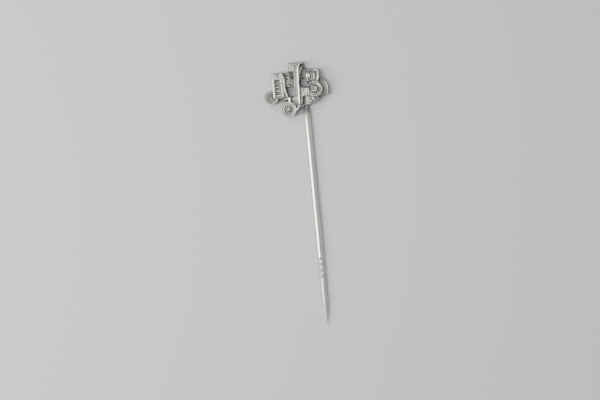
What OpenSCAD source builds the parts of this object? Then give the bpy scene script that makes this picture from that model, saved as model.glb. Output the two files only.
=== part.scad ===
// Stick pin: a pierced white-metal emblem of an open vintage car, on a steel needle that is
// soldered into a channel in the emblem's back.
// The origin is on the needle's axis, at the emblem's foot. +Z is the emblem's front, +Y runs
// up the emblem and the needle points along -Y.

/* [Needle] */
// Diameter of the wire
wire_d = 1.3; // [1.0:0.05:1.4]
// Length of the needle below the origin
needle_len = 43.5; // [38:0.5:52]
// Length of the twisted grip
grip_len = 4.8; // [4:0.2:7]
// Distance from the point up to the grip
grip_from_tip = 9.2; // [8:0.2:11]
// Length of the ground point
point_len = 5.6; // [4:0.2:7]
// Length of wire let into the emblem's back
seat_len = 3.4; // [2.5:0.1:3.6]

/* [Emblem] */
// Width of the emblem
emblem_w = 13.2; // [12:0.1:15]
// How far the emblem's back plane lies below the needle's axis
back_drop = 0.35; // [0.25:0.05:0.45]
// Height of the lowest floors above the back plane
floor_h = 0.9; // [0.8:0.05:1.0]
// Height of the body panels above the back plane
panel_h = 1.55; // [1.5:0.05:1.7]
// Height of the screen post, the highest ridge, above the back plane
post_h = 2.8; // [2.5:0.05:3.0]

/* [Wheels] */
// Radius of the near front tyre
front_wheel_r = 1.65; // [1.5:0.05:1.75]
// Radius of the rear tyre
rear_wheel_r = 1.5; // [1.3:0.05:1.6]
// Radius of the far front tyre
far_wheel_r = 1.45; // [1.3:0.05:1.5]
// Number of spokes in a wheel
spoke_count = 8; // [6:1:12]

/* [Solder] */
// Gap between the wire and the channel, which the solder fills
solder_gap = 0.1; // [0.06:0.01:0.12]
// Width of the solder fillet beside the channel
fillet_w = 0.5; // [0.3:0.05:0.6]

/* [Hidden] */
$fn = 48;
cast_fn = 16;                           // coarse enough for small cast details
drawn_w = 13.2;                         // the width at which the emblem is laid out below
emblem_scale = emblem_w / drawn_w;
wire_r = wire_d / 2;
channel_r = wire_r + solder_gap;
tang_r = wire_r * 0.7;                  // the seated end, filed down to a tang
neck_r = wire_r * 0.88;                 // the wire below the grip, drawn thinner by the twisting
bite = 0.1;                             // how far joined shapes run into each other
grip_top = needle_len - grip_from_tip - grip_len;
grip_side = wire_d * 0.76;              // across the flats of the twisted square
shoulder_len = grip_from_tip - point_len;
front_hub = [-3.45, 0.4];
rear_hub = [2.2, 3.9];
far_hub = [-6.75, 2.95];
guard_r = 2.45;                         // the rear mudguard's arc, round the rear hub
post_w = 0.44;                          // width of the screen post
foot_y = 0.75 * emblem_scale;           // the emblem's foot, over the needle's axis
channel_len = seat_len + solder_gap;
crown_half = wire_r * 0.7;              // half the width of the solder fillet's flat top
crown_z = -wire_r * 0.82;               // and how low it lies under the needle's axis
beyond = 5;                             // takes a cut well clear of the metal

// ---- emblem --------------------------------------------------------------------------
module slab(h, z = 0) {
    translate([0, 0, z]) linear_extrude(height = h) children();
}

module ridge(p, q, w, h) {
    // a bevelled ridge w wide and h high, from point p to point q
    hull() for (e = [p, q]) translate([e[0], e[1], 0]) {
        cylinder(d = w, h = h - w * 0.3, $fn = 12);
        cylinder(d = w * 0.5, h = h, $fn = 12);
    }
}

module boss(p, r, h) {
    // a round pillar with a domed head
    translate([p[0], p[1], 0]) {
        cylinder(r = r, h = h - r, $fn = cast_fn);
        translate([0, 0, h - r]) sphere(r = r, $fn = cast_fn);
    }
}

module wheel(hub, r, h, lean) {
    // tyre, disc, spokes and hub cap of one wheel, leaning as the three-quarter view turns it
    tyre = r * 0.22;
    translate([hub[0], hub[1], h - tyre]) rotate(lean) {
        rotate_extrude($fn = 28) translate([r - tyre, 0]) circle(r = tyre, $fn = 10);
        translate([0, 0, -tyre * 1.5]) cylinder(r = r - tyre, h = tyre * 1.2, $fn = 28);
        for (i = [0 : spoke_count - 1]) rotate([0, 0, i * 360 / spoke_count])
            translate([0, -0.07, -tyre]) cube([r - tyre, 0.14, tyre * 1.3]);
        translate([0, 0, -tyre]) cylinder(r = r * 0.24, h = tyre * 1.9, $fn = cast_fn);
    }
    translate([hub[0], hub[1], 0]) cylinder(r = r * 0.9, h = h - tyre * 2, $fn = 28);
}

module body_outline() {
    // the car's outline in three-quarter view: radiator, screen, seat, tail and sill
    polygon([[-6.4, 2.7], [-6.3, 7.8], [-2.9, 7.75], [-2.8, 9.65], [0.25, 9.65], [0.4, 8.2],
             [3.3, 8.1], [3.6, 6.6], [4.5, 5.7], [4.7, 4.0], [4.1, 3.0], [3.2, 2.3],
             [2.2, 1.5], [0.9, 0.75], [-1.2, 0.6], [-4.4, 1.4]]);
}

module openings() {
    // pierced right through: ahead of the screen, and between the post and the seat
    polygon([[-3.45, 3.0], [-2.25, 2.9], [-2.05, 5.8], [-3.3, 5.8]]);
    polygon([[-0.65, 4.75], [-0.55, 6.3], [0.35, 6.3], [0.6, 5.6], [1.2, 4.75]]);
}

module radiator() {
    // broad upright shell, its core sunk behind cross bars, and the filler cap
    slab(1.5) polygon([[-6.35, 2.97], [-6.3, 7.78], [-4.1, 7.78], [-4.0, 2.97]]);
    ridge([-6.04, 3.25], [-6.02, 7.5], 0.6, 1.95);
    ridge([-6.0, 7.3], [-4.4, 7.3], 0.9, 1.95);
    ridge([-4.4, 7.4], [-4.3, 3.25], 0.5, 1.95);
    for (y = [3.3 : 0.75 : 6.3]) ridge([-6, y], [-4.4, y], 0.32, 1.9);
    ridge([-4.3, 7.5], [-3.9, 6.7], 0.46, 2.2);
    boss([-5.25, 7.3], 0.28, 2.15);
}

module bonnet_side() {
    // the strip that sweeps back and down from the radiator to the front mudguard
    ridge([-3.95, 7.0], [-3.95, 5.3], 0.4, 1.75);
    ridge([-3.95, 5.3], [-3.55, 2.9], 0.4, 1.75);
    ridge([-3.4, 6.4], [-2.3, 6.6], 0.34, 1.35);
    ridge([-3.2, 5.05], [-2.1, 4.95], 0.3, 1.2);
    boss([-3.05, 2.4], 0.45, 2.3);
}

module screen() {
    // windscreen: a flat panel, and the post on its near side, which rises to a hooked top
    slab(1.5) polygon([[-2.15, 2.8], [-2.6, 7.9], [-2.65, 9.5], [-0.9, 9.55], [-1.0, 1.4]]);
    ridge([-1.2, 1.1], [-1.15, 3.6], post_w, post_h - 0.55);
    ridge([-1.15, 3.6], [-1.08, 6], post_w, post_h - 0.3);
    ridge([-1.08, 6], [-0.95, 8.4], post_w, post_h);
    ridge([-0.95, 8.4], [-0.5, 9.3], post_w, post_h);
    ridge([-0.5, 9.3], [-0.1, 9.33], 0.42, post_h - 0.3);
    boss([-0.15, 8.2], 0.25, 1.7);
}

module seat() {
    // rolled seat back around a buttoned cushion
    slab(1.3) polygon([[0.8, 5.5], [0.65, 7.75], [3.2, 7.8], [3.1, 5.5]]);
    ridge([0.95, 6.1], [0.95, 7.4], 0.55, 1.9);
    ridge([0.95, 7.4], [2.9, 7.5], 0.5, 1.8);
    ridge([2.9, 7.5], [2.8, 5.7], 0.4, 2.1);
    boss([1.95, 6.7], 0.32, 1.75);
    boss([0.85, 5.75], 0.35, 1.9);
    boss([1.3, 5.2], 0.33, 1.6);
}

module side_panel() {
    // body side with upright louvres over the sill, and the step with its lamp
    slab(panel_h) polygon([[-1, 1.1], [-1, 4.6], [1.0, 4.6], [1.3, 2.2], [0.9, 0.95]]);
    for (x = [-0.45, 0.1, 0.65]) ridge([x, 2.9], [x, 4.3], 0.26, panel_h + 0.35);
    slab(1.7) polygon([[0.8, 1.1], [1.1, 2.6], [2.9, 2.35], [2.1, 1.6]]);
    boss([1.7, 2.0], 0.42, 2.2);
}

module mudguards() {
    // front guard sweeping up to the post, and the guard round the rear wheel
    ridge([-2.2, -0.25], [-1.2, 1.1], 0.42, 2.25);
    ridge([-1.2, 1.1], [-0.55, 0.65], 0.4, 2.1);
    for (a = [-15 : 18 : 57]) ridge(guard_at(a), guard_at(a + 18), 0.5, 1.6);
}

function guard_at(a) = rear_hub + guard_r * [cos(a), sin(a)];

module emblem_relief() {
    difference() {
        slab(floor_h) body_outline();
        slab(3, -1) openings();
    }
    radiator();
    bonnet_side();
    screen();
    seat();
    side_panel();
    mudguards();
    wheel(front_hub, front_wheel_r, 2.35, [10, -8, 0]);
    wheel(rear_hub, rear_wheel_r, 2.0, [10, -8, 0]);
    wheel(far_hub, far_wheel_r, 1.75, [22, -12, 0]);
}

module emblem_casting() {
    clear = 1 / cos(180 / $fn);         // keeps the channel's flats off the solder
    color([0.62, 0.63, 0.64]) difference() {
        translate([0, 0, -back_drop]) scale(emblem_scale) emblem_relief();
        channel(channel_r * clear, beyond);
    }
}

module channel(r, foot) {
    // the slot for the wire, open at the back, from its blind end down past the emblem's foot
    rotate([90, 0, 0]) translate([0, 0, -channel_len]) linear_extrude(height = channel_len + foot) {
        circle(r = r);
        translate([-r, -2]) square([2 * r, 2]);
    }
}

// ---- needle --------------------------------------------------------------------------
module needle() {
    color([0.80, 0.81, 0.82]) rotate([90, 0, 0]) {
        translate([0, 0, -seat_len]) cylinder(r = tang_r, h = seat_len + bite);
        cylinder(r = wire_r, h = grip_top);
        translate([0, 0, grip_top - bite]) grip();
        translate([0, 0, grip_top + grip_len - bite]) point();
    }
}

module grip() {
    // wire flattened to a square and twisted one turn, so that cloth doesn't slip off
    linear_extrude(height = grip_len + bite, twist = 360, slices = 28, $fn = 8)
        intersection() {
            square(grip_side, center = true);
            circle(r = wire_r * 0.95, $fn = 24);
        }
}

module point() {
    // plain wire below the grip, ground to a slender point
    rotate_extrude() polygon([[0, 0], [neck_r, 0.3], [neck_r, shoulder_len],
        [neck_r * 0.7, shoulder_len + point_len * 0.5], [neck_r * 0.1, grip_from_tip],
        [0, grip_from_tip + bite]]);
}

// ---- solder --------------------------------------------------------------------------
module solder_joint() {
    // soft solder that fills the channel round the tang, feathers out over the back and ends
    // in a collar that narrows to the wire
    color([0.70, 0.71, 0.73]) difference() {
        union() {
            intersection() {
                channel(channel_r, 0);
                translate([-beyond, foot_y, -back_drop - bite])
                    cube([2 * beyond, channel_len - foot_y, beyond]);
            }
            rotate([90, 0, 0]) translate([0, 0, -channel_len])
                linear_extrude(height = channel_len - foot_y) fillet_profile();
            rotate([90, 0, 0]) translate([0, 0, -foot_y - bite])
                cylinder(r1 = channel_r, r2 = wire_r * 0.95, h = foot_y + bite);
        }
        rotate([90, 0, 0]) translate([0, 0, -seat_len]) cylinder(r = tang_r, h = seat_len + 3);
    }
}

module fillet_profile() {
    rim = channel_r + fillet_w;
    polygon([[-rim, -back_drop], [rim, -back_drop], [crown_half, crown_z], [-crown_half, crown_z]]);
}

emblem_casting();
needle();
solder_joint();
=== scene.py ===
"""Stick pin: a cast white-metal car emblem on a steel needle, laid face up on a pale table.

Every piece is built in millimetres, then brought into the frame in metres. The emblem's heights
are counted from its flat back.
"""
import math

import bmesh
import bpy
import numpy as np
from mathutils import Matrix, Vector


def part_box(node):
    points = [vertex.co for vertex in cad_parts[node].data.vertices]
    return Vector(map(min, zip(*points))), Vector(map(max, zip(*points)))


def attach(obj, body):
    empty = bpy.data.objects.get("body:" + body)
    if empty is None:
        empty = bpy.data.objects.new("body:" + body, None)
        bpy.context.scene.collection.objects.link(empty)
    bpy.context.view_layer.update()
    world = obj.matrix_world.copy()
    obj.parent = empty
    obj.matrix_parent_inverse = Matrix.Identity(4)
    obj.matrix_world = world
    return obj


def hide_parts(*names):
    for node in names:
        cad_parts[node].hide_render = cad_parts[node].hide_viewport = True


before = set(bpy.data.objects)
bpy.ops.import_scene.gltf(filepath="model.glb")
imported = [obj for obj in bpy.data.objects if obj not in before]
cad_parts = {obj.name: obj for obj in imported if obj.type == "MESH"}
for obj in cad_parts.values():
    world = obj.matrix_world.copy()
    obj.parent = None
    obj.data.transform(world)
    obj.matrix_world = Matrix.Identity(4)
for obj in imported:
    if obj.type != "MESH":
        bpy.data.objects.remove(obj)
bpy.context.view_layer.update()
MM = 0.001

EMBLEM_LOW, EMBLEM_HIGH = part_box("emblem_casting")
NEEDLE_LOW, NEEDLE_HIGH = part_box("needle")
SOLDER_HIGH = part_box("solder_joint")[1]

# The emblem, in millimetres
BACK = EMBLEM_LOW[2] / MM               # its flat back, in the frame
CREST = (EMBLEM_HIGH[2] - EMBLEM_LOW[2]) / MM   # height of the screen post, the highest ridge
FLOOR = 0.9                             # height of the lowest floors
PANEL = 1.55                            # height of the car's flat sides
BASE = 0.2                              # where plates laid on the floor begin, inside it
EMBLEM_FOOT = 0.75                      # where the emblem begins, up the needle from the origin
EMBLEM_STEP = 0.07                      # remesh steps, fine enough for each one's details
SOLDER_STEP = 0.05

FRONT_HUB = (-3.42, 0.42)
REAR_HUB = (2.2, 3.9)
FAR_HUB = (-6.68, 2.95)
WHEELS = [                              # hub, tyre radius, height, lean about X and Y in degrees
    (FRONT_HUB, 1.63, 1.85, (6, -8)),
    (REAR_HUB, 1.5, 1.5, (-12, -6)),
    (FAR_HUB, 1.47, 1.3, (-8, -6))]
SPOKES = 10

# The needle, in millimetres, with distances counted down from the origin
WIRE_R = (NEEDLE_HIGH[0] - NEEDLE_LOW[0]) / 2 / MM
TIP = -NEEDLE_LOW[1] / MM
SEAT_END = NEEDLE_HIGH[1] / MM          # up from the origin, to the wire's end behind the emblem
TAPER_END = 0.25                        # where the seated tang has grown to the full wire
PAINTED_SHADOW_REACH = 2.2                            # how far down the wire's top is painted darker and rougher, a painted shadow of the emblem
GRIP_TOP = 29.5
GRIP_END = 34.3
POINT_START = 37.9
TURNS = 1.0                             # of the twisted square, over the grip
GRIP_EASE = 7                           # the square comes in and goes over a seventh of the grip
POINT_CURVE = 1.35                      # power of the point's taper: above 1 its sides bulge

# Thicknesses along it, as parts of the full wire
TANG = 0.7                              # the seated end
END_ROUND = 0.9                         # its last ring, as a part of the tang
FLAT = 0.76                             # the twisted square across its flats
CORNER = 0.95                           # and across its rounded corners
NECK = 0.88                             # the wire below the grip
TIP_LEFT = 0.03                         # the very tip, as a part of the neck


# ---- building in millimetres ---------------------------------------------------------
def add_object(name, data):
    thing = bpy.data.objects.new(name, data)
    bpy.context.scene.collection.objects.link(thing)
    return thing


def add_mesh(name, bm):
    mesh = bpy.data.meshes.new(name)
    bm.to_mesh(mesh)
    bm.free()
    return add_object(name, mesh)


def smooth_shade(thing):
    for face in thing.data.polygons:
        face.use_smooth = True


def hull(bm, points):
    """Adds the convex hull of the points to bm."""
    verts = [bm.verts.new(p) for p in points]
    made = bmesh.ops.convex_hull(bm, input=verts)
    spare = set(made["geom_interior"]) | set(made["geom_unused"])
    bmesh.ops.delete(bm, geom=[g for g in spare if isinstance(g, bmesh.types.BMVert)], context="VERTS")


def pillar(x, y, r, top, low=0.0, sides=16):
    """Points of a round pillar with a domed head."""
    points = []
    for i in range(sides):
        c, s = math.cos(math.tau * i / sides), math.sin(math.tau * i / sides)
        points.append((x + r * c, y + r * s, low))
        for lift in (0, 30, 55, 75):
            a = math.radians(lift)
            points.append((x + r * c * math.cos(a), y + r * s * math.cos(a), top - r + r * math.sin(a)))
    points.append((x, y, top))
    return points


def boss(bm, x, y, r, top):
    """A round-headed stud on the back plane."""
    hull(bm, pillar(x, y, r, top))


def ridge(bm, path):
    """A round-topped wall on the back plane, through stations (x, y, half width, top)."""
    for a, b in zip(path, path[1:]):
        hull(bm, pillar(*a) + pillar(*b))


def curve_through(points, steps=6):
    """Points of a smooth curve through the stations (Catmull-Rom)."""
    p = [points[0], *points, points[-1]]
    path = []
    for i in range(1, len(p) - 2):
        for j in range(steps):
            t = j / steps
            path.append(tuple(
                0.5 * (2 * b + (c - a) * t + (2 * a - 5 * b + 4 * c - d) * t * t
                       + (3 * b - a - 3 * c + d) * t ** 3)
                for a, b, c, d in zip(p[i - 1], p[i], p[i + 1], p[i + 2])))
    return path + [points[-1]]


def plate(bm, outlines, low, high, edge=0.1):
    """A flat plate with rounded edges between two heights. The outlines after the first are holes."""
    data = bpy.data.curves.new("plate", "CURVE")
    data.dimensions = "2D"
    data.fill_mode = "BOTH"
    data.bevel_depth = edge
    data.bevel_resolution = 2
    data.offset = -edge
    data.extrude = (high - low) / 2 - edge
    for outline in outlines:
        line = data.splines.new("POLY")
        line.points.add(len(outline) - 1)
        for point, (x, y) in zip(line.points, outline):
            point.co = (x, y, 0, 1)
        line.use_cyclic_u = True
    thing = add_object("plate", data)
    bpy.context.view_layer.update()
    mesh = bpy.data.meshes.new_from_object(thing)
    mesh.transform(Matrix.Translation((0, 0, (low + high) / 2)))
    bm.from_mesh(mesh)
    bpy.data.objects.remove(thing)
    bpy.data.curves.remove(data)
    bpy.data.meshes.remove(mesh)


def turned(bm, profile, place, sides=64):
    """A turned shape: a closed profile of (radius, height) spun about its own axis."""
    rings = []
    for i in range(sides):
        c, s = math.cos(math.tau * i / sides), math.sin(math.tau * i / sides)
        rings.append([bm.verts.new(place @ Vector((r * c, r * s, h))) for r, h in profile])
    for a, b in zip(rings, rings[1:] + rings[:1]):
        for j in range(len(profile)):
            n = (j + 1) % len(profile)
            bm.faces.new((a[j], b[j], b[n], a[n]))


def oval(radius, across, up, sides=14):
    """Profile of a ring's oval section."""
    return [(radius + across * math.cos(math.tau * i / sides), up * math.sin(math.tau * i / sides))
            for i in range(sides)]


# ---- the emblem's details ------------------------------------------------------------
def leaning(hub, height, lean_x, lean_y):
    """Where a wheel sits: its hub, its height and the lean that the view gives it."""
    turn = Matrix.Rotation(math.radians(lean_x), 4, "X") @ Matrix.Rotation(math.radians(lean_y), 4, "Y")
    return Matrix.Translation((hub[0], hub[1], height)) @ turn


def wheel(bm, hub, r, height, lean):
    """Tyre, inner rim, spokes and hub cap of one wheel, on a round post that joins it to the floor."""
    place = leaning(hub, height, *lean)
    tyre = r * 0.14                     # half the tyre's width
    dish = -tyre * 0.6                  # the face behind the spokes
    turned(bm, oval(r - tyre, tyre, tyre * 1.25), place)
    turned(bm, oval(r - tyre * 2.7, tyre * 0.5, tyre * 0.8), place)
    turned(bm, [(0.001, -tyre * 3), (r - tyre, -tyre * 3), (r - tyre, dish), (0.001, dish)], place)
    spoke_ends = [(0.1, 0.085, tyre * 0.5), (r - tyre * 2.2, 0.06, tyre * 0.1)]   # reach, half, top
    for i in range(SPOKES):
        a = math.tau * (i + 0.5) / SPOKES
        points = []
        for reach, half, top in spoke_ends:
            for side in (-half, half):
                for z in (-tyre * 1.2, top):
                    points.append(place @ Vector((reach * math.cos(a) - side * math.sin(a),
                                                  reach * math.sin(a) + side * math.cos(a), z)))
        hull(bm, points)
    hull(bm, [place @ Vector(p) for p in pillar(0, 0, r * 0.19, tyre * 1.7, -tyre)])
    hull(bm, pillar(*hub, r * 0.88, height - tyre * 0.9, sides=32))


def around(hub, r, first, last, steps=10):
    """Points of an arc about a hub, between two angles in degrees."""
    return [(hub[0] + r * math.cos(a), hub[1] + r * math.sin(a))
            for a in np.radians(np.linspace(first, last, steps))]


def floor_plate(bm):
    """The car's lowest level, pierced ahead of the screen and under the seat."""
    outline = [(-6.4, 2.9), (-6.3, 7.8), (-2.9, 7.75), (-2.8, 9.65), (0.25, 9.65), (0.4, 8.2),
               (3.3, 8.05), (3.3, 6.2), *around(REAR_HUB, 2.35, 55, -25), (3.0, 2.1),
               (2.1, 1.3), (0.6, 0.9), (-1.2, 0.6), (-1.8, 0.2), (-4.3, 0.9), (-4.2, 2.15), (-5.6, 2.4)]
    ahead_of_screen = [(-3.45, 3.0), (-2.2, 2.9), (-2.05, 5.8), (-3.35, 5.8)]
    under_seat = [(-0.65, 4.8), (-0.55, 6.4), (0.3, 6.4), (0.55, 5.6), (1.2, 4.8)]
    plate(bm, [outline, ahead_of_screen, under_seat], 0, FLOOR, 0.12)


def radiator(bm):
    """A broad plain shell, its core sunk in the lower half behind bold cross bars."""
    shell = [(-6.35, 2.95), (-6.3, 7.78), (-4.1, 7.78), (-4.0, 2.95)]
    core = [(-5.7, 3.15), (-5.68, 6.35), (-4.7, 6.35), (-4.6, 3.15)]
    plate(bm, [shell, core], BASE, 1.95, 0.16)
    plate(bm, [shell], BASE, 1.5)
    for y in (3.35, 4.2, 5.0, 5.65):
        ridge(bm, [(-5.7, y, 0.16, 1.85), (-4.6, y + 0.03, 0.18, 1.98)])
    ridge(bm, [(-6.2, 2.98, 0.14, 2.0), (-4.2, 2.92, 0.14, 2.0)])
    ridge(bm, [(-4.33, 7.5, 0.24, 2.2), (-3.88, 6.65, 0.22, 2.1)])
    boss(bm, -5.25, 7.3, 0.26, 2.15)


def bonnet_side(bm):
    """The strip that sweeps down from the bonnet to the front axle, and the engine behind it."""
    ridge(bm, curve_through([(-3.86, 6.7, 0.19, 2.0), (-3.95, 5.6, 0.19, 1.95), (-3.85, 4.4, 0.19, 1.9),
                             (-3.5, 3.0, 0.2, 1.9)]))
    ridge(bm, curve_through([(-4.2, 6.4, 0.28, 1.8), (-4.3, 5.0, 0.3, 1.78), (-4.15, 3.8, 0.32, 1.75),
                             (-3.95, 2.7, 0.32, 1.65)]))
    plate(bm, [[(-3.9, 5.0), (-3.9, 7.6), (-2.2, 7.6), (-2.1, 5.0)]], 0, 1.15)
    ridge(bm, [(-3.4, 7.4, 0.25, 1.5), (-2.6, 7.45, 0.22, 1.5)])
    ridge(bm, [(-3.5, 6.6, 0.17, 1.45), (-2.3, 6.65, 0.17, 1.45)])
    ridge(bm, [(-2.9, 5.0, 0.16, 1.4), (-2.88, 6.6, 0.16, 1.45)])
    ridge(bm, [(-3.4, 5.0, 0.17, 1.3), (-2.1, 4.95, 0.17, 1.3)])
    boss(bm, -2.95, 5.05, 0.28, 1.65)
    boss(bm, -2.9, 7.0, 0.26, 1.7)
    ridge(bm, [(-3.9, 2.45, 0.24, 1.85), (-3.4, 2.6, 0.22, 1.95)])
    ridge(bm, [(-3.14, 1.95, 0.27, 2.3), (-3.08, 2.65, 0.24, 2.35)])


def windscreen(bm):
    """The screen's panel, its inner edge, and the tall near post with its hooked top."""
    plate(bm, [[(-2.75, 7.85), (-2.7, 9.6), (-0.8, 9.6), (-1.0, 7.8)]], BASE, 1.5, 0.14)
    plate(bm, [[(-2.15, 2.85), (-1.85, 8.9), (-1.0, 9.3), (-1.05, 1.4)]], BASE, 1.55, 0.14)
    ridge(bm, [(-2.05, 3.0, 0.1, 1.66), (-1.8, 6.5, 0.1, 1.66), (-1.65, 8.85, 0.1, 1.66)])
    top = CREST - 0.02
    post = [(-1.2, 1.0, 0.2, 2.15), (-1.2, 2.0, 0.2, 2.2), (-1.15, 3.4, 0.2, 2.3), (-1.1, 5.6, 0.2, 2.5),
            (-1.02, 7.3, 0.2, CREST - 0.1), (-0.95, 8.3, 0.2, top), (-0.78, 8.9, 0.2, top),
            (-0.5, 9.28, 0.2, top), (-0.1, 9.33, 0.18, CREST - 0.3)]
    ridge(bm, curve_through(post, 4))
    ridge(bm, curve_through([(-0.75, 6.4, 0.3, 1.6), (-0.6, 7.6, 0.32, 1.85), (-0.35, 8.5, 0.28, 1.95)], 3))
    boss(bm, -0.15, 8.2, 0.24, 1.7)
    ridge(bm, [(-0.45, 8.75, 0.16, 1.75), (0.0, 8.7, 0.16, 1.65)])


def seat(bm):
    """A rolled seat back round three buttoned flutes, with a knob on its near corner."""
    plate(bm, [[(0.75, 5.4), (0.55, 8.0), (3.25, 8.0), (3.15, 5.5)]], BASE, 1.35)
    roll = [(0.85, 6.2, 0.22, 1.8), (0.8, 7.1, 0.24, 1.9), (1.1, 7.65, 0.24, 1.75),
            (2.2, 7.8, 0.24, 1.7), (2.95, 7.6, 0.2, 2.0), (2.93, 6.6, 0.19, 2.1), (2.8, 5.75, 0.17, 2.0)]
    ridge(bm, curve_through(roll))
    ridge(bm, [(1.24, 6.5, 0.15, 1.85), (1.22, 7.1, 0.15, 1.9)])
    ridge(bm, [(1.72, 6.3, 0.12, 1.5), (1.74, 7.2, 0.12, 1.5)])
    ridge(bm, [(2.22, 6.1, 0.24, 1.75), (2.18, 7.1, 0.24, 1.8)])
    boss(bm, 0.82, 5.87, 0.27, 2.0)
    boss(bm, 1.28, 5.3, 0.26, 1.85)
    ridge(bm, [(1.75, 5.6, 0.2, 1.6), (2.5, 5.65, 0.2, 1.6)])


def louvred_side(bm):
    """The body side with its louvres, the sill below, and the step with its lamp."""
    panel = [(-1.1, 1.0), (-1.05, 4.7), (1.0, 4.7), (1.4, 2.4), (0.9, 0.95)]
    hollow = [(-0.55, 1.2), (-0.4, 2.55), (0.0, 2.6), (0.15, 2.0), (-0.05, 1.25)]
    plate(bm, [panel, hollow], BASE, PANEL + 0.1)
    for x, top in ((-0.32, 0.5), (0.05, 0.32), (0.4, 0.52), (0.78, 0.36)):
        ridge(bm, [(x + 0.04, 2.85, 0.13, PANEL + top - 0.05), (x - 0.04, 4.3, 0.14, PANEL + top)])
    ridge(bm, [(0.75, 2.45, 0.17, 1.9), (1.5, 2.3, 0.17, 1.95)])
    plate(bm, [[(0.7, 1.25), (1.0, 2.5), (2.9, 2.5), (2.1, 1.45)]], BASE, 1.5)
    boss(bm, 1.75, 2.05, 0.38, 2.05)
    boss(bm, 1.2, 1.68, 0.3, 1.95)
    boss(bm, 2.45, 2.2, 0.28, 1.8)
    boss(bm, 0.85, 2.0, 0.2, 1.8)
    sill = [(-0.5, 0.98, 0.13, 1.6), (0.6, 1.05, 0.12, 1.5), (2.0, 1.5, 0.15, 1.65), (2.9, 2.2, 0.15, 1.6)]
    ridge(bm, sill)


def mudguards(bm):
    """The front guard, which runs up into the post, the guard over the rear wheel, and its brake drum."""
    rim = [(x, y, 0.19, 2.1) for x, y in around(FRONT_HUB, 1.47, -60, -25, 4)]
    front = rim + [(-1.72, 0.25, 0.21, 2.35), (-1.2, 1.05, 0.2, 2.3)]
    ridge(bm, curve_through(front, 4))
    ridge(bm, [(-1.2, 1.1, 0.19, 2.2), (-0.55, 0.62, 0.17, 1.9)])
    wing = [(-2.9, 2.45), (-2.3, 2.85), (-1.1, 2.85), (-1.1, 0.85), (-1.7, 0.2), (-2.2, 1.3)]
    plate(bm, [wing], BASE, 1.5)
    ridge(bm, [(x, y, 0.15, 1.4) for x, y in around(REAR_HUB, 2.47, -28, 68, 12)])
    quarter = [(1.05, 4.75), (0.95, 5.7), (3.05, 5.75), (3.25, 4.6), (2.6, 4.85), (1.8, 4.9)]
    plate(bm, [quarter], BASE, 1.54)
    drum = (2.0, 3.98)
    turned(bm, oval(0.44, 0.15, 0.28), leaning(drum, 1.8, -10, -6))
    hull(bm, pillar(*drum, 0.4, 1.75))


def emblem_shape():
    bm = bmesh.new()
    for detail in (floor_plate, radiator, bonnet_side, windscreen, seat, louvred_side, mudguards):
        detail(bm)
    for hub, r, height, lean in WHEELS:
        wheel(bm, hub, r, height, lean)
    return bm


# ---- casting: one skin over the joined shapes -----------------------------------------
def apply_modifiers(thing):
    """Makes the piece's mesh what its modifiers show, and takes them off."""
    bpy.context.view_layer.update()
    graph = bpy.context.evaluated_depsgraph_get()
    mesh = bpy.data.meshes.new_from_object(thing.evaluated_get(graph))
    thing.modifiers.clear()
    old, thing.data = thing.data, mesh
    bpy.data.meshes.remove(old)


def cast(name, bm, step, softening):
    """Joins the shapes into one closed skin and softens it as a mould does."""
    thing = add_mesh(name, bm)
    skin = thing.modifiers.new("skin", "REMESH")
    skin.mode = "VOXEL"
    skin.voxel_size = step
    apply_modifiers(thing)
    soft = thing.modifiers.new("soft", "SMOOTH")
    soft.factor = 0.5
    soft.iterations = softening
    apply_modifiers(thing)
    return thing


def into_frame(thing, rise=0.0):
    """Brings a piece from millimetres to metres, with its zero height at a height in the frame."""
    thing.data.transform(Matrix.Scale(MM, 4) @ Matrix.Translation((0, 0, rise)))
    smooth_shade(thing)


# ---- needle --------------------------------------------------------------------------
def wire_radius(down, angle):
    """The wire's radius at a distance below the origin, in a direction round its axis."""
    if down < TAPER_END:
        part = max(0, (down + EMBLEM_FOOT) / (TAPER_END + EMBLEM_FOOT))
        return WIRE_R * (TANG + (1 - TANG) * part * part * (3 - 2 * part))
    if down < GRIP_TOP:
        return WIRE_R
    if down > GRIP_END:
        part = max(0, (down - POINT_START) / (TIP - POINT_START))
        return WIRE_R * NECK * max(TIP_LEFT, 1 - part ** POINT_CURVE)
    along = (down - GRIP_TOP) / (GRIP_END - GRIP_TOP)
    bare = min(1, GRIP_EASE * min(along, 1 - along))
    turn = (angle + math.tau * TURNS * along) % (math.pi / 2) - math.pi / 4
    square = min(WIRE_R * FLAT / math.cos(turn), WIRE_R * CORNER)
    round_r = WIRE_R * (1 if along < 0.5 else NECK)
    return round_r + bare * (square - round_r)


def needle_shape(name, sides=48):
    """A skin of rings along the wire, close together where the shape changes fast."""
    stations = [-SEAT_END, -SEAT_END + 0.06]
    stations += list(np.linspace(-EMBLEM_FOOT, TAPER_END, 14))
    stations += list(np.linspace(TAPER_END + 0.3, GRIP_TOP - 0.2, 60))
    stations += list(np.linspace(GRIP_TOP - 0.1, GRIP_END + 0.1, 110))
    stations += list(np.linspace(GRIP_END + 0.4, POINT_START - 0.1, 10))
    stations += list(np.linspace(POINT_START, TIP, 50))
    bm = bmesh.new()
    rings = []
    for n, down in enumerate(stations):
        ring = []
        for i in range(sides):
            a = math.tau * i / sides
            r = wire_radius(down, a) * (END_ROUND if n == 0 else 1)
            ring.append(bm.verts.new((r * math.sin(a), -down, r * math.cos(a))))
        rings.append(ring)
    for a, b in zip(rings, rings[1:]):
        for i in range(sides):
            j = (i + 1) % sides
            bm.faces.new((a[i], a[j], b[j], b[i]))
    bm.faces.new(rings[0][::-1])
    bm.faces.new(rings[-1])
    bm.normal_update()
    bmesh.ops.recalc_face_normals(bm, faces=bm.faces)
    thing = add_mesh(name, bm)
    into_frame(thing)
    return thing


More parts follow.
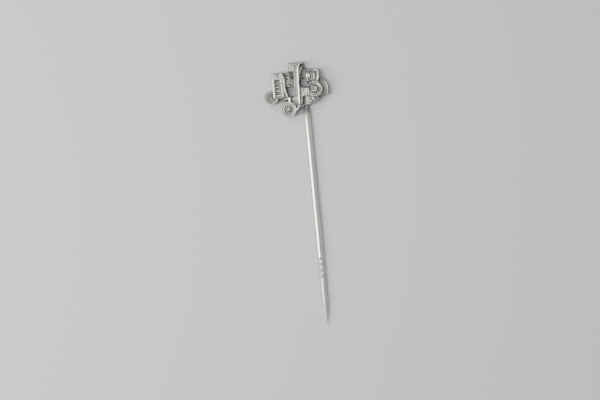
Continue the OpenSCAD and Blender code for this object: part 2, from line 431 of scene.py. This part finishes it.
# ---- solder --------------------------------------------------------------------------
def solder_shape():
    """A smooth mound over the seated wire, feathered out on the back, and a thin film up to
    where the wire is full."""
    bm = bmesh.new()
    half, end = SOLDER_HIGH[0] / MM, SOLDER_HIGH[1] / MM
    crown = -WIRE_R * 0.82              # the CAD fillet's flat top
    embedded = BACK + 0.12              # the joint reaches this far up into the emblem
    spread = 0.45                       # half the length of each slice of the mound
    section = [(1, 0), (0.85, 0.3), (0.6, 0.75), (0.3, 1)]      # shares of its width and height
    for y in np.linspace(EMBLEM_FOOT + spread, end - spread, 15):
        swell = 0.9 + 0.05 * math.sin(2 * y) + 0.04 * math.cos(3.3 * y)
        points = []
        for a in np.linspace(0, math.tau, 24, endpoint=False):
            for share, drop in section:
                points.append((half * swell * share * math.cos(a), y + spread * share * math.sin(a),
                               BACK + drop * (crown - BACK)))
            points.append((*points[-4][:2], embedded))
        hull(bm, points)
    tang = WIRE_R * TANG
    film = [(EMBLEM_FOOT + 0.5, tang + 0.22), (EMBLEM_FOOT + 0.1, tang + 0.16),
            (EMBLEM_FOOT - 0.2, tang + 0.06), (EMBLEM_FOOT - 0.5, tang + 0.04)]
    hull(bm, [(r * math.cos(a), y, r * math.sin(a)) for y, r in film
              for a in np.linspace(0, math.tau, 40, endpoint=False)])
    return bm


# ---- materials -----------------------------------------------------------------------
def linear(hex_colour):
    """An sRGB hex colour as linear red, green, blue and alpha."""
    parts = [int(hex_colour[i:i + 2], 16) / 255 for i in (1, 3, 5)]
    return tuple(c / 12.92 if c <= 0.04045 else ((c + 0.055) / 1.055) ** 2.4 for c in parts) + (1,)


def node(tree, kind, links=(), stops=(), **settings):
    """Adds a node. Links are {socket: (node, output)}, stops are a colour ramp's (position, hex
    colour), and settings are the node's own fields, or socket values when named in_SOCKET."""
    made = tree.nodes.new(kind)
    for key, value in settings.items():
        if key.startswith("in_"):
            made.inputs[key[3:].replace("_", " ")].default_value = value
        else:
            setattr(made, key, value)
    for socket, (source, output) in dict(links).items():
        tree.links.new(source.outputs[output], made.inputs[socket])
    for _ in stops[2:]:
        made.color_ramp.elements.new(1)
    for i, (position, colour) in enumerate(stops):
        made.color_ramp.elements[i].position = position
        made.color_ramp.elements[i].color = linear(colour)
    return made


def new_material(name):
    """A material with an empty node tree."""
    material = bpy.data.materials.new(name)
    material.use_nodes = True
    tree = material.node_tree
    tree.nodes.clear()
    return material, tree


def grains(across):
    """The scale of a texture whose grains are so many millimetres across."""
    return 1 / (across * MM)


def painted_board():
    """Smooth board in a flat pale grey paint, which spreads the light evenly."""
    material, tree = new_material("painted_board")
    shader = node(tree, "ShaderNodeBsdfPrincipled", in_Base_Color=linear("#d3d5d8"), in_Roughness=0.7)
    node(tree, "ShaderNodeOutputMaterial", {"Surface": (shader, "BSDF")})
    return material


def white_metal_cast():
    """Tin-alloy white metal, cast in a rubber mould and tumbled: the high places are rubbed
    bright, the recesses are darker, partly a dull grey oxide and partly painted shade, and the skin has a
    fine sandy grain."""
    material, tree = new_material("white_metal_cast")
    place = node(tree, "ShaderNodeTexCoord")
    recess = node(tree, "ShaderNodeAttribute", attribute_name="recess")
    mottle = node(tree, "ShaderNodeTexNoise", {"Vector": (place, "Object")}, in_Scale=grains(0.7),
                  in_Detail=3)
    drift = node(tree, "ShaderNodeMapRange", {"Value": (mottle, "Fac")}, in_To_Min=-0.15, in_To_Max=0.15)
    shade = node(tree, "ShaderNodeMath", {0: (recess, "Fac"), 1: (drift, "Result")}, operation="ADD")
    # painted shade: the tone darkens with depth, partly a grey oxide in the hollows and partly shade
    # painted in
    tone = node(tree, "ShaderNodeValToRGB", {"Fac": (shade, "Value")},
                [(0.0, "#f0efe9"), (0.15, "#c6c5bd"), (0.3, "#a6a69f"), (0.5, "#92938c"),
                 (0.75, "#84867f"), (1.0, "#74766f")])
    rough = node(tree, "ShaderNodeMapRange", {"Value": (shade, "Value")}, in_To_Min=0.26, in_To_Max=0.6)
    metal = node(tree, "ShaderNodeMapRange", {"Value": (recess, "Fac")}, in_To_Min=1.0, in_To_Max=0.8)
    waves = node(tree, "ShaderNodeTexNoise", {"Vector": (place, "Object")}, in_Scale=grains(0.8),
                 in_Detail=2)
    sand = node(tree, "ShaderNodeTexNoise", {"Vector": (place, "Object")}, in_Scale=grains(0.12),
                in_Detail=4)
    uneven = node(tree, "ShaderNodeBump", {"Height": (waves, "Fac")}, in_Distance=0.018 * MM)
    skin = node(tree, "ShaderNodeBump", {"Height": (sand, "Fac"), "Normal": (uneven, "Normal")},
                in_Distance=0.008 * MM)
    shader = node(tree, "ShaderNodeBsdfPrincipled",
                  {"Base Color": (tone, "Color"), "Roughness": (rough, "Result"),
                   "Metallic": (metal, "Result"), "Normal": (skin, "Normal")})
    node(tree, "ShaderNodeOutputMaterial", {"Surface": (shader, "BSDF")})
    return material


def steel_wire_drawn():
    """Hard-drawn steel wire with a thin nickel flash: die lines run along it and shift the gloss
    in long streaks. Its top is painted darker and rougher, a painted shadow of the emblem over it,
    and below the twisted grip it is ground, so it is satin there."""
    material, tree = new_material("steel_wire_drawn")
    place = node(tree, "ShaderNodeTexCoord")
    along = node(tree, "ShaderNodeSeparateXYZ", {"Vector": (place, "Object")})
    drawn = node(tree, "ShaderNodeMapping", {"Vector": (place, "Object")}, in_Scale=(1, 0.02, 1))
    lines = node(tree, "ShaderNodeTexNoise", {"Vector": (drawn, "Vector")}, in_Scale=grains(0.12),
                 in_Detail=2)
    stains = node(tree, "ShaderNodeTexNoise", {"Vector": (place, "Object")}, in_Scale=grains(2.2),
                  in_Detail=3)
    # painted shadow: the top of the wire is darkened in colour and roughened where the emblem shades it
    painted_shadow = node(tree, "ShaderNodeMapRange", {"Value": (along, "Y")}, in_From_Min=-PAINTED_SHADOW_REACH * MM,
                  in_From_Max=0, in_To_Min=0, in_To_Max=0.6)
    ground = node(tree, "ShaderNodeMapRange", {"Value": (along, "Y")}, in_From_Min=-GRIP_TOP * MM,
                  in_From_Max=-(GRIP_TOP + 1) * MM, in_To_Min=0, in_To_Max=0.22)
    stains_and_shadow = node(tree, "ShaderNodeMath", {0: (stains, "Fac"), 1: (painted_shadow, "Result")}, operation="SUBTRACT")
    tone = node(tree, "ShaderNodeValToRGB", {"Fac": (stains_and_shadow, "Value")},
                [(0.0, "#a3a098"), (0.3, "#cdc9bd"), (0.7, "#dfdbd0")])
    gloss = node(tree, "ShaderNodeMapRange", {"Value": (lines, "Fac")}, in_To_Min=0.2, in_To_Max=0.34)
    dulled = node(tree, "ShaderNodeMath", {0: (painted_shadow, "Result"), 1: (ground, "Result")}, operation="ADD")
    rough = node(tree, "ShaderNodeMath", {0: (gloss, "Result"), 1: (dulled, "Value")}, operation="ADD")
    scored = node(tree, "ShaderNodeBump", {"Height": (lines, "Fac")}, in_Distance=0.004 * MM)
    shader = node(tree, "ShaderNodeBsdfPrincipled",
                  {"Base Color": (tone, "Color"), "Roughness": (rough, "Value"),
                   "Normal": (scored, "Normal")}, in_Metallic=1)
    node(tree, "ShaderNodeOutputMaterial", {"Surface": (shader, "BSDF")})
    return material


def soft_solder_flowed():
    """Tin solder as it flowed and froze: satin, with a faint frosty crystal pattern."""
    material, tree = new_material("soft_solder_flowed")
    place = node(tree, "ShaderNodeTexCoord")
    frost = node(tree, "ShaderNodeTexNoise", {"Vector": (place, "Object")}, in_Scale=grains(0.3),
                 in_Detail=4)
    tone = node(tree, "ShaderNodeValToRGB", {"Fac": (frost, "Fac")}, [(0.35, "#7f8386"), (0.65, "#a2a5a7")])
    rough = node(tree, "ShaderNodeMapRange", {"Value": (frost, "Fac")}, in_To_Min=0.4, in_To_Max=0.65)
    skin = node(tree, "ShaderNodeBump", {"Height": (frost, "Fac")}, in_Distance=0.01 * MM)
    shader = node(tree, "ShaderNodeBsdfPrincipled",
                  {"Base Color": (tone, "Color"), "Roughness": (rough, "Result"),
                   "Normal": (skin, "Normal")}, in_Metallic=1)
    node(tree, "ShaderNodeOutputMaterial", {"Surface": (shader, "BSDF")})
    return material


# How deep a vertex lies, from 0 (rubbed bright) to 1 (dull); the darkening towards 1 is partly oxide and
# partly painted shade
DEPTH_SPAN = 1.4                        # millimetres below the metal around it that make the whole range
LEVEL = 0.45                            # on a flat at the middle height
MIDDLE = 1.5                            # that height, in millimetres over the back
HEIGHT_SHARE = 0.22                     # what each millimetre above it takes away
TYRE_LEAST = 0.25                       # tyres are kept at least this dark and dull
WALL_MOST = 0.5                         # walls are never dull
BACK_LEVEL = 0.4


def blurred(field, reach):
    """A box blur of a grid, made three times, which comes close to a round one."""
    for axis in (0, 1) * 3:
        field = sum(np.roll(field, shift, axis) for shift in range(-reach, reach + 1)) / (2 * reach + 1)
    return field


def mark_recesses(thing, cell=0.1, reach=4):
    """Stores on each vertex how deep it lies below the metal around it: 0 on a crest, about
    half on a flat and 1 in a hollow. The surroundings are a grid of cells, in millimetres, and
    the blur reaches over so many of them."""
    mesh = thing.data
    points = np.empty(len(mesh.vertices) * 3)
    mesh.vertices.foreach_get("co", points)
    points = points.reshape(-1, 3) / MM
    low = points.min(axis=0)
    height = points[:, 2] - low[2]
    margin = 4 * reach                  # more than the three blurs reach
    col, row = (((points[:, i] - low[i]) / cell).astype(int) + margin for i in (0, 1))
    top = np.zeros((row.max() + margin, col.max() + margin))
    np.maximum.at(top, (row, col), height)
    metal = (top > 0).astype(float)
    level = blurred(top, reach) / np.maximum(blurred(metal, reach), 0.01)
    # painted shade: sunken and low places get a higher value, so the metal is painted darker there
    depth = np.clip((level[row, col] - height) / DEPTH_SPAN + LEVEL - (height - MIDDLE) * HEIGHT_SHARE,
                    0, 1)
    for hub, r, *_ in WHEELS:
        out = np.hypot(points[:, 0] - hub[0], points[:, 1] - hub[1])
        tyre = (out > r * 0.5) & (out < r)
        depth[tyre] = np.maximum(depth[tyre], TYRE_LEAST)
    normals = np.empty(len(mesh.vertices) * 3)
    mesh.vertices.foreach_get("normal", normals)
    up = normals.reshape(-1, 3)[:, 2]
    wall = up < 0.25
    depth[wall] = np.minimum(depth[wall], WALL_MOST)
    depth[up < -0.5] = BACK_LEVEL
    mesh.attributes.new("recess", "FLOAT", "POINT").data.foreach_set("value", depth)


# ---- light ---------------------------------------------------------------------------
def softbox(name, place, size, power, aim=(0, -0.01, 0)):
    """A rectangular lamp at a place, turned towards its aim."""
    data = bpy.data.lights.new(name, "AREA")
    data.shape = "RECTANGLE"
    data.size, data.size_y = size
    data.energy = power
    lamp = add_object(name, data)
    lamp.location = place
    lamp.rotation_euler = (Vector(place) - Vector(aim)).to_track_quat("Z", "Y").to_euler()


# ---- the pieces ----------------------------------------------------------------------
emblem = cast("emblem", emblem_shape(), EMBLEM_STEP, softening=3)
into_frame(emblem, BACK)
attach(emblem, "root")
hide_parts("emblem_casting")
emblem.data.materials.clear()
mark_recesses(emblem)
emblem.data.materials.append(white_metal_cast())

needle = needle_shape("needle_wire")
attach(needle, "root")
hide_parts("needle")
needle.data.materials.append(steel_wire_drawn())

solder = cast("solder", solder_shape(), SOLDER_STEP, softening=12)
into_frame(solder)
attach(solder, "root")
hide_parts("solder_joint")
solder.data.materials.clear()
solder.data.materials.append(soft_solder_flowed())

# ---- table, camera and lamps, in metres ----------------------------------------------
VIEW_CENTRE = Vector((-3.0 * MM, -17.79 * MM, 0))
VIEW_WIDTH = 120 * MM
LEAN = math.radians(5.52)               # the pin leans, its point to the right
LENS = 135
SENSOR = 36
TABLE_REACH = 0.6                       # from its middle to each side

table_bm = bmesh.new()
bmesh.ops.create_grid(table_bm, x_segments=2, y_segments=2, size=TABLE_REACH)
table = add_mesh("table", table_bm)
table.location.z = -WIRE_R * MM         # the needle rests on it
table.data.materials.append(painted_board())

camera_data = bpy.data.cameras.new("camera")
camera_data.lens = LENS
camera_data.sensor_width = SENSOR
camera_data.clip_start = 0.01
camera = add_object("camera", camera_data)
camera.location = VIEW_CENTRE + Vector((0, 0, VIEW_WIDTH * LENS / SENSOR))
camera.rotation_euler = (0, 0, -LEAN)
bpy.context.scene.camera = camera

softbox("window", (-0.17, -0.02, 0.215), (0.09, 0.33), 1.05)
softbox("lamp", (-0.28, 0.3, 0.45), (0.12, 0.12), 1.0)
softbox("reflector", (0.34, -0.02, 0.36), (0.4, 0.7), 0.4)
world = bpy.data.worlds.new("room")
bpy.context.scene.world = world
world.use_nodes = True
background = world.node_tree.nodes["Background"]
background.inputs["Color"].default_value = linear("#c9ced4")
background.inputs["Strength"].default_value = 0.5
